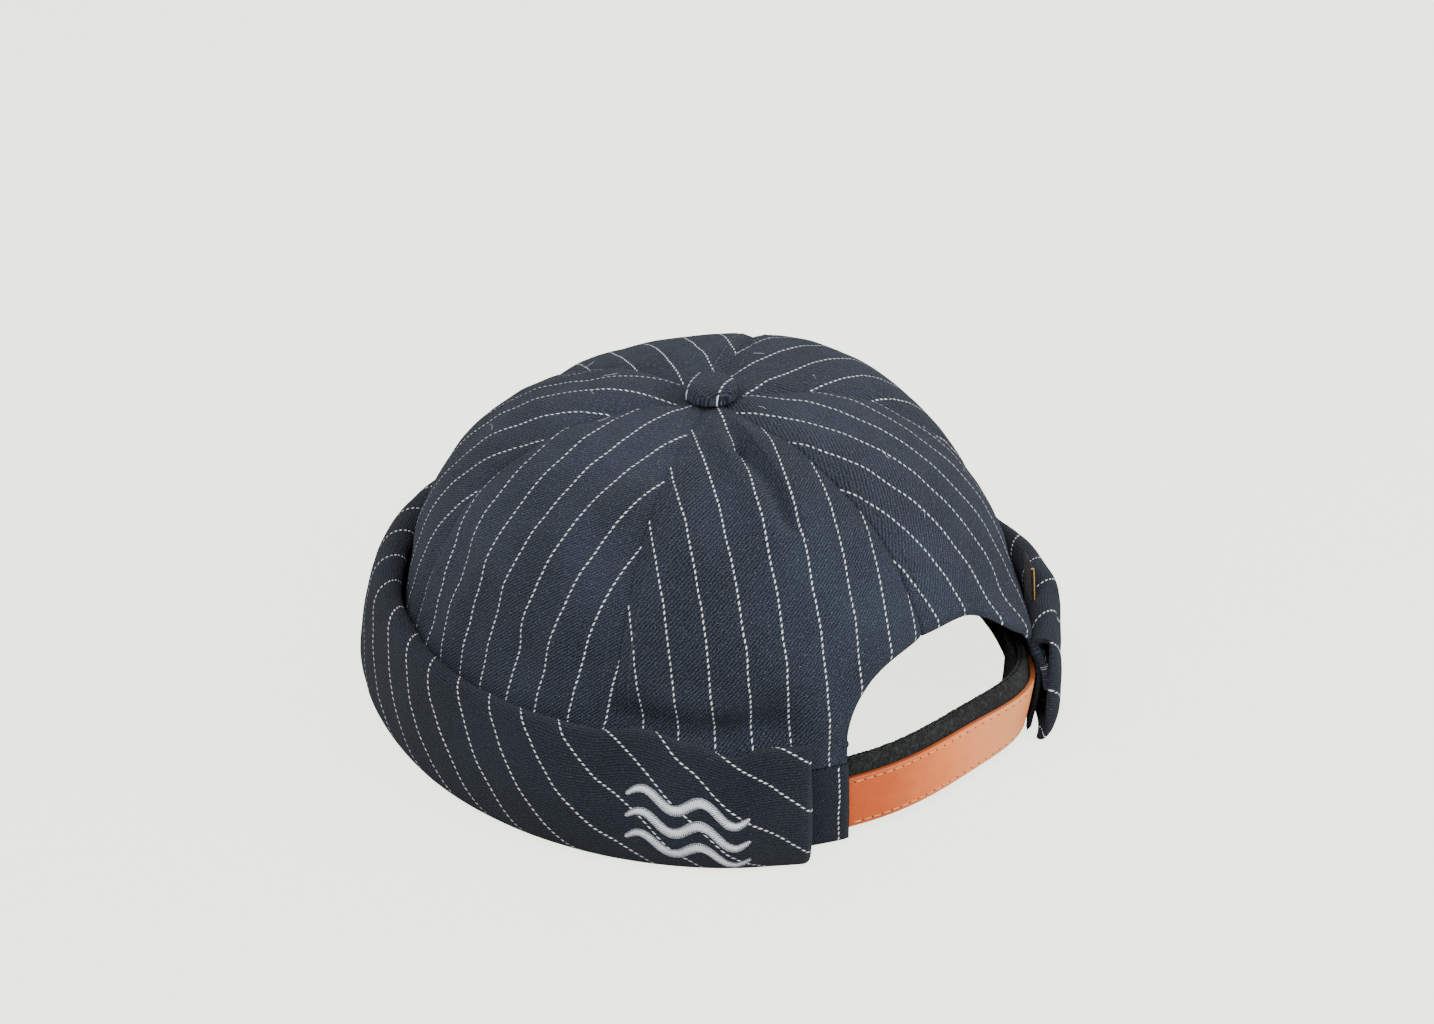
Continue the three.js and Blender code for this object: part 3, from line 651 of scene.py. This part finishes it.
def cuffSectionAt(angle):  # out from the rim and up from the floor: the outer face, then the roll and inner flap
    tall, belly, top = cuffFormAt(angle)
    channel = mix(cuff["channel"], cuff["farChannel"], float(smooth(angle, 316, 330)))
    half = (top - wallOut(angle, tall - cuff["rollHeight"]) - channel) / 2
    rise = min(cuff["rollHeight"], half * 1.1)
    outer = np.array([(0.3, 0), (0.46 * belly, 0), (0.78 * belly, 0.07 * tall), (0.96 * belly, 0.24 * tall),
                      (mix(belly, top, 0.1), 0.46 * tall), (mix(belly, top, 0.4), 0.68 * tall),
                      (top + 0.12 * (belly - top), tall - rise)])
    turn = np.radians(np.linspace(30, 180, 6))[:, None]
    roll = np.hstack([top - half + half * np.cos(turn), tall - rise + rise * np.sin(turn)])
    heights = tall - rise - cuff["innerDrop"] * np.array([0.5, 1])
    outs = [wallOut(angle, height) + channel + loose for height, loose in zip(heights, (0.3, 0.6))]
    flap = np.vstack([outer[-1:], roll, np.stack([outs, heights], -1)])
    return smoothLine(outer, cuff["faceRows"]), smoothLine(flap, cuff["flapRows"])


def cuffPoint(angle, out, up):
    place, outward = crownSkin(angle, 0)
    place = place + outward * (flareAt(angle) + out)
    return np.array([place[0], place[1], up])


def makeCuff():
    ends = np.array([0, 0.1, 0.25, 0.5, 0.85, 1.3, 1.8])
    middle = np.linspace(cuff["far"] - 2.6, cuff["near"] + 2.6, cuff["columns"] + 1)
    angles = np.r_[cuff["far"] - ends, middle, cuff["near"] + ends[::-1]]
    lengths = ringLength(angles)
    stretch = (meanRadius + cuff["out"]) / meanRadius
    bias = math.radians(cuff["biasAngle"])
    points, cloth, ways = [], [], []
    for angle, length in zip(angles, lengths):
        outer, inner = cuffSectionAt(angle)
        section = np.vstack([outer, inner[1:]])
        up = distances(section)
        up -= up[len(outer) - 1]  # counted from the top of the outer face
        toEnd = min(lengths[0] - length, length - lengths[-1]) / cuff["hem"]
        closing = 1 - math.sqrt(max(0, 1 - max(0, 1 - toEnd) ** 2))
        section[:, 0] -= np.maximum(section[:, 0] - cuff["hemOut"], 0) * closing
        column = np.array([cuffPoint(angle, *row) for row in section])
        wave = sum(deep * ripple(column, size, seed) for size, deep, seed in cuff["waves"])
        wave *= smooth(column[:, 2], *cuff["waveHeights"]) * (1 - closing)
        column += crownSkin(angle, 0)[1] * wave[:, None]
        points.append(column)
        ways.append(up)
        slope = mix(cuff["slopeNear"], cuff["slopeFar"], float(smooth(angle, 52, 80)))
        stripesOn = np.interp(angle, cuffStripes, np.arange(len(cuffStripes)))
        along = -length * stretch
        cloth.append(np.stack([up * slope - stripesOn * stripe["spacing"],
                               along * math.cos(bias) - up * math.sin(bias)], -1))
    points, cloth = np.array(points).swapaxes(0, 1), np.array(cloth).swapaxes(0, 1)
    piece = gridPiece("rolled_cuff", points, cloth, thickness=cuff["cloth"], levels=1)
    dress(piece, paintedShadeWool, "striped_wool", *[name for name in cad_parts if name.startswith("cuff")])
    length = float(ringLength(cuff["far"]) - ringLength(cuff["near"])) * stretch
    return angles, points, np.array(ways)


cuffAngles, cuffPlaces, cuffWays = makeCuff()
print("cuff rolled")

bands = dict(
    near=math.degrees(math.asin((arch["offset"] + arch["width"] / 2) / halfWidth)),
    far=360 + math.degrees(math.asin((arch["offset"] - arch["width"] / 2) / halfWidth)),
    headFoot=1.2, headHeight=25.8, headCloth=1.6, sweatFoot=2.0, sweatHeight=25.0, sweatTape=1.2,
    gap=0.3, strapGap=0.6, tuck=14, tabStripe=3.5, columns=320,
)


def bandSection(foot, height, outerDepth, cloth, corner, steps):
    # a loop round the band's section, from the top of its outer face over to the inner one and back below
    half, deep = height / 2, cloth / 2
    corner = min(corner, deep * 0.99)
    path = []
    for middleUp, middleDeep, first in ((1, -1, 180), (1, 1, 90), (-1, 1, 0), (-1, -1, -90)):
        for turn in np.radians(np.linspace(first, first - 90, 5)):
            path.append((middleUp * (half - corner) + corner * math.sin(turn),
                         middleDeep * (deep - corner) + corner * math.cos(turn)))
    face = np.linspace(-half + corner, half - corner, steps + 1)[1:-1]
    outer = np.stack([face, np.full(face.shape, -deep)], -1)
    inner = np.stack([face[::-1], np.full(face.shape, deep)], -1)
    loop = np.vstack([path[:10], inner, path[10:], outer, path[:1]])
    return loop, foot + half, outerDepth + deep


def makeBand(name, start, end, foot, height, outerDepth, cloth, columns, corner=0.8, bulge=None, fuzz=0.0,
             clothShift=0, endRound=0.8, steps=10):
    loop, middleUp, middleDeep = bandSection(foot, height, outerDepth, cloth, corner, steps)
    angles = np.linspace(end, start, columns + 1)
    lengths = ringLength(angles)
    points, uvs = [], []
    for angle, length in zip(angles, lengths):
        toEnd = min(abs(length - lengths[0]), abs(lengths[-1] - length))
        pinch = math.sqrt(max(0, 1 - (1 - min(toEnd / endRound, 1)) ** 2))
        depth = middleDeep + loop[:, 1] * pinch + (bulge(angle) if bulge else 0)
        column = crownFace(angle, riseAtHeight(middleUp + loop[:, 0]), depth, detail=False)
        if fuzz:
            column = column + fuzz * ripple(column, 0.7, 4.4)[:, None] * crownSkin(angle, 0)[1]
            column[:, 2] += fuzz * ripple(column, 0.8, 9.1) * pinch
        points.append(column)
        uvs.append(np.stack([np.full(len(loop), -length + clothShift), loop[:, 0]], -1))
    points, uvs = np.array(points).swapaxes(0, 1), np.array(uvs).swapaxes(0, 1)
    return gridPiece(name, points[::-1], uvs[::-1], closed=True)


strapDepth = bands["headCloth"] + bands["strapGap"]
strapTape = dict(thickness=1.1, width=22.4, columns=240, steps=36, fuzz=0.28)
strapStack = leather["thickness"] + 2 * (strapTape["thickness"] + bands["gap"])
tuckAngle = math.degrees(bands["tuck"] / meanRadius)


def overStrap(angle):  # the sweatband bows in over the strap's tucked ends
    fromFoot = min(angle - bands["near"], bands["far"] - angle) / tuckAngle
    return (strapStack + 2 * bands["strapGap"] - bands["gap"]) * (1 - float(smooth(fromFoot, 1.2, 2.2)))


tabShift = ringLength(bands["near"]) + bands["tabStripe"]  # a stripe runs up the tab beside the strap
headband = makeBand("wool_headband", bands["near"], bands["far"], bands["headFoot"], bands["headHeight"], 0,
                    bands["headCloth"], bands["columns"], clothShift=tabShift)
dress(headband, paintedShadeWool, "striped_wool", "headband")

sweatband = makeBand("inner_sweatband", bands["near"] + 1, bands["far"] - 1, bands["sweatFoot"],
                     bands["sweatHeight"], bands["headCloth"] + bands["gap"], bands["sweatTape"],
                     bands["columns"], corner=0.6, bulge=overStrap, fuzz=0.12)
dress(sweatband, blackTape, "black_tape", "sweatband")

strapStart, strapEnd = bands["far"] - tuckAngle - 360, bands["near"] + tuckAngle
strap = makeBand("leather_strap", strapStart, strapEnd, leather["foot"], leather["width"], strapDepth,
                 leather["thickness"], leather["columns"], corner=0.45)
dress(strap, tanLeather, "tan_leather", "strap_leather")
depth = strapDepth + leather["thickness"] + bands["gap"]
for name, cadNode in (("loop_tape", "strap_loop_tape"), ("hook_tape", "strap_hook_tape")):
    layer = makeBand(name, strapStart, strapEnd, leather["foot"], strapTape["width"], depth,
                     strapTape["thickness"], strapTape["columns"], corner=0.5, fuzz=strapTape["fuzz"],
                     steps=strapTape["steps"])
    dress(layer, blackTape, "black_tape", cadNode)
    depth += strapTape["thickness"] + bands["gap"]
print("bands and strap in place")

# threads: one stitch or fibre is modelled, then copied to each of its places
def makeStitch(length, width, height):
    bpy.ops.mesh.primitive_uv_sphere_add(segments=6, ring_count=6, radius=0.5, rotation=(0, math.pi / 2, 0))
    pattern = bpy.context.object
    pattern.scale = (height * mm, width * mm, length * mm)
    bpy.ops.object.transform_apply(location=False, rotation=True, scale=True)
    pattern.select_set(False)
    return pattern


def standing(place, along, outward, stretch=1.0):  # lays the pattern's X along a way, its Z outwards
    x, z = Vector(along).normalized(), Vector(outward)
    z = (z - x * z.dot(x)).normalized()
    spot = Matrix((x * stretch, z.cross(x), z)).transposed().to_4x4()
    spot.translation = Vector(np.asarray(place) + hatShift) * mm
    return spot


def spotsAlong(path, outward, pitch, start=0.5):
    along = distances(path)
    spots = []
    for at in np.arange(pitch * start, along[-1], pitch):
        index = int(np.searchsorted(along, at))
        share = (at - along[index - 1]) / (along[index] - along[index - 1])
        place = mix(path[index - 1], path[index], share)
        spots.append(standing(place, path[index] - path[index - 1], outward[index]))
    return spots


def scatter(name, pattern, spots, material, slot):
    bpy.ops.object.select_all(action="DESELECT")
    for spot in spots:
        mesh = pattern.data.copy()
        mesh.transform(spot)
        thread = bpy.data.objects.new(name, mesh)
        bpy.context.collection.objects.link(thread)
        thread.select_set(True)
    bpy.context.view_layer.objects.active = thread
    bpy.ops.object.join()
    piece = bpy.context.object
    piece.name = piece.data.name = name
    bpy.ops.object.shade_smooth()
    piece.select_set(False)
    bpy.data.objects.remove(pattern)
    return dress(piece, material, slot)


topstitch = dict(away=3.8, pitch=3.1, length=2.1, width=0.48, height=0.34, foot=30, backFoot=57.5, top=11)


def topstitchSpots():
    spots = []
    for seam in seams[:-1]:
        foot = topstitch["backFoot"] if seam == 0 else topstitch["foot"]
        rises = np.linspace(riseAtHeight(foot), riseAtSpread(topstitch["top"] / meanRadius), 400)
        away = np.degrees(topstitch["away"] / (meanRadius * spreadAtRise(rises)))
        for side in (-1, 1):
            angles = seam + side * away
            spots += spotsAlong(crownFace(angles, rises), crownSkin(angles, rises)[1], topstitch["pitch"])
    return spots


scatter("seam_topstitch", makeStitch(topstitch["length"], topstitch["width"], topstitch["height"]),
        topstitchSpots(), navyThread, "striped_wool")

strapSeam = dict(away=7.0, pitch=3.3, length=2.7, width=0.46, height=0.4, inset=1.2, proud=0.03,
                 hole=0.62, holeHeight=0.14)
stitchSpots, holeSpots = [], []
for away in (-strapSeam["away"], strapSeam["away"]):
    turns = np.linspace(bands["far"] - 360 + strapSeam["inset"], bands["near"] - strapSeam["inset"], 300)
    up = riseAtHeight(leather["foot"] + leather["width"] / 2 + away)
    path, outward = crownFace(turns, up, strapDepth - strapSeam["proud"], detail=False), crownSkin(turns, up)[1]
    stitchSpots += spotsAlong(path, outward, strapSeam["pitch"])
    holeSpots += spotsAlong(path, outward, strapSeam["pitch"], start=1)
scatter("strap_stitches", makeStitch(strapSeam["length"], strapSeam["width"], strapSeam["height"]), stitchSpots,
        tanThread, "tan_leather")
# the needle holes are flattened dark discs on the leather surface: painted shade where the holes would be
scatter("strap_hole_shade", makeStitch(strapSeam["hole"], strapSeam["hole"], strapSeam["holeHeight"]), holeSpots,
        paintedHoleShade, "tan_leather")

# embroidery on the cuff: three stacked waves of satin stitch, each with a darker thread round it
motif = dict(angle=49, up=-21.8, out=10.5, length=36, spacing=7.0, amplitude=2.0, period=18, bar=2.5, pitch=0.5,
             tilt=24, thread=0.46, proud=0.42,
             outline=1.3, outlineAway=0.16, outlineWidth=0.42, outlineHeight=0.44)


def onCuff(right, up):  # a place on the cuff's outer face, counted from the motif's middle
    angle = motif["angle"] - math.degrees(right / (meanRadius + motif["out"]))
    faceRows = cuff["faceRows"] + 1
    column = float(np.interp(-angle, -cuffAngles, np.arange(len(cuffAngles))))
    pair = []
    for index in (int(column), int(column) + 1):
        row = float(np.interp(motif["up"] + up, cuffWays[index][:faceRows], np.arange(faceRows)))
        pair.append(mix(cuffPlaces[int(row), index], cuffPlaces[int(row) + 1, index], row % 1))
    return mix(*pair, column % 1)


def cuffWaysAt(right, up):  # the ways to the right, up and out
    across = onCuff(right + 0.5, up) - onCuff(right - 0.5, up)
    upward = onCuff(right, up + 0.5) - onCuff(right, up - 0.5)
    return across, upward, np.cross(across, upward)


def makeMotif():
    satin, outline = [], []
    tilt = math.radians(motif["tilt"])
    for wave in (-1, 0, 1):
        edges = {-1: [], 1: []}
        for share in np.arange(0.004, 0.998, motif["pitch"] / motif["length"] / 1.1):
            right = (share - 0.5) * motif["length"]
            turn = math.tau * right / motif["period"]
            up = wave * motif["spacing"] + motif["amplitude"] * math.sin(turn)
            slope = motif["amplitude"] * math.tau / motif["period"] * math.cos(turn)
            bar = motif["bar"] * math.sqrt(1 - abs(2 * share - 1) ** 3)  # thinner towards the wave's ends
            across, upward, outward = cuffWaysAt(right, up)
            lean = math.atan2(1, -slope) - tilt
            satin.append(standing(onCuff(right, up), math.cos(lean) * across + math.sin(lean) * upward, outward,
                                  bar / math.cos(tilt)))
            steep = math.hypot(1, slope)
            reach = bar / 2 + motif["outlineAway"]
            for side in edges:
                spot = (right - side * slope / steep * reach, up + side / steep * reach)
                edges[side].append((onCuff(*spot), outward))
        for side in edges:
            path, outward = (np.array(column) for column in zip(*edges[side]))
            outline += spotsAlong(path, outward, motif["outline"])
    scatter("wave_motif", makeStitch(1, motif["thread"], motif["proud"]), satin, paleThread, "striped_wool")
    edgeStitch = makeStitch(motif["outline"] * 1.2, motif["outlineWidth"], motif["outlineHeight"])
    scatter("wave_motif_edge", edgeStitch, outline, greyThread, "striped_wool")


makeMotif()
print("stitches and motif sewn")

# the plain folded tape behind the far end of the cuff
sideTape = dict(angle=320, width=10, foot=29, top=48.6, apart=0.9, lean=-1.0, offWall=0.4, cloth=0.45,
                columns=14, threadPitch=1.1, threadLength=1.3, threadWidth=0.42, threadPoints=18)


def makeSideTape():
    reach = math.degrees(sideTape["width"] / 2 / meanRadius)
    angles = np.linspace(sideTape["angle"] + reach, sideTape["angle"] - reach, sideTape["columns"] + 1)
    climb = np.linspace(0, 1, 13)
    over = np.linspace(0, math.pi, 7)[1:-1]
    half = sideTape["apart"] / 2
    rise = sideTape["top"] - sideTape["foot"]
    section = np.vstack([
        np.stack([half * 2 + sideTape["lean"] * climb ** 1.6, sideTape["foot"] + rise * climb], -1),
        np.stack([half + half * np.cos(over) + sideTape["lean"], sideTape["top"] + half * np.sin(over)], -1),
        np.stack([sideTape["lean"] * climb ** 1.6, sideTape["foot"] + rise * climb], -1)[::-1],
    ])
    points = []
    for angle in angles:
        wall = wallOut(angle, sideTape["foot"]) + sideTape["offWall"]
        points.append([cuffPoint(angle, wall + out, up) for out, up in section])
    points = np.array(points).swapaxes(0, 1)
    along = distances(points[:, 0])
    across = np.linspace(0, sideTape["width"], sideTape["columns"] + 1)
    cloth = np.stack(np.meshgrid(across, along), -1)
    piece = gridPiece("side_tape", points, cloth, thickness=sideTape["cloth"], levels=1)
    dress(piece, blackTape, "black_tape", "side_label")
    edge = points[:sideTape["threadPoints"], 0]
    outward = np.repeat((points[5, 0] - points[-6, 0])[None, :], len(edge), axis=0)  # from back to front layer
    spots = spotsAlong(edge, outward, sideTape["threadPitch"])
    pattern = makeStitch(sideTape["threadLength"], sideTape["threadWidth"], sideTape["threadWidth"])
    scatter("side_tape_thread", pattern, spots, goldThread, "black_tape")


makeSideTape()
print("side tape folded")

# a few loose fibres caught on the wool
lint = dict(count=18, thread=0.07, shortest=1.5, longest=5.0, parts=6, curl=0.3, lift=0.06, climb=0.05,
            overlap=1.25, seed=5)


def lintSpots():
    draw = np.random.default_rng(lint["seed"])
    spots = []
    for fibre in range(lint["count"]):
        angle, up = draw.uniform(0, 360), draw.uniform(0.34, 0.95)
        heading, bend = draw.uniform(0, math.tau), draw.uniform(-lint["curl"], lint["curl"])
        step = draw.uniform(lint["shortest"], lint["longest"]) / lint["parts"]
        for part in range(lint["parts"]):
            place = crownFace(angle, up, -lint["lift"] - lint["climb"] * part)
            radius = max(float(np.hypot(place[0], place[1])), 8)
            angle += math.degrees(step * math.cos(heading) / radius)
            up += step * math.sin(heading) / 150
            heading += bend
            after = crownFace(angle, up, -lint["lift"] - lint["climb"] * (part + 1))
            spots.append(standing((place + after) / 2, after - place, crownSkin(angle, up)[1],
                                  float(np.linalg.norm(after - place)) * lint["overlap"]))
    return spots


scatter("lint", makeStitch(1, lint["thread"], lint["thread"]), lintSpots(), paleThread, "striped_wool")
print("lint caught")

# camera
azimuth, elevation = math.radians(shot["azimuth"]), math.radians(shot["elevation"])
flatBack = Vector((math.sin(azimuth), -math.cos(azimuth), 0))
back = flatBack * math.cos(elevation) + Vector((0, 0, math.sin(elevation)))
right = Vector((math.cos(azimuth), math.sin(azimuth), 0))
aim = (Vector(hatShift) + right * shot["aimAcross"] + Vector((0, 0, shot["aimUp"]))) * mm
bpy.ops.object.camera_add(location=aim + back * shot["distance"] * mm)
camera = bpy.context.object
camera.rotation_euler = back.to_track_quat("Z", "Y").to_euler()
camera.data.lens = shot["lens"]
camera.data.sensor_width = 36
camera.data.clip_end = 20
bpy.context.scene.camera = camera

# studio
studio = dict(
    floor=colour(160, 161, 156), glow=2.9, glowTone=colour(236, 238, 224), sky=0.66, skyTone=(1, 1, 0.985, 1),
    top=32, side=26, fill=5,
)
bpy.ops.mesh.primitive_plane_add(size=6)
floor = bpy.context.object
floor.name = "studio_floor"
floorPaint, floorTree, floorShader = newMaterial("paleFloor")
floorShader.inputs["Base Color"].default_value = studio["floor"]
floorShader.inputs["Roughness"].default_value = 0.9
floorShader.inputs["Emission Color"].default_value = studio["glowTone"]  # bright to the camera only
seen = node(floorTree, "LightPath").outputs["Is Camera Ray"]
floorTree.links.new(sums(floorTree, "MULTIPLY", seen, studio["glow"]), floorShader.inputs["Emission Strength"])
floor.data.materials.append(floorPaint)

world = bpy.context.scene.world or bpy.data.worlds.new("studio")
bpy.context.scene.world = world
world.use_nodes = True
background = world.node_tree.nodes["Background"].inputs
background["Color"].default_value = studio["skyTone"]
background["Strength"].default_value = studio["sky"]


def makeLight(name, across, up, towards, size, energy):  # placed as seen from the camera, in metres
    location = right * across + Vector((0, 0, up)) + flatBack * towards
    bpy.ops.object.light_add(type="AREA", location=location)
    light = bpy.context.object
    light.name = name
    light.data.size = size
    light.data.energy = energy
    light.rotation_euler = (location - Vector((0, 0, 0.05))).to_track_quat("Z", "Y").to_euler()


makeLight("top_light", -0.45, 1.55, 0.9, 1.2, studio["top"])
makeLight("side_light", 1.3, 0.7, 0.5, 0.9, studio["side"])
makeLight("front_fill", -0.9, 1.3, 1.0, 1.2, studio["fill"])
print("studio set")
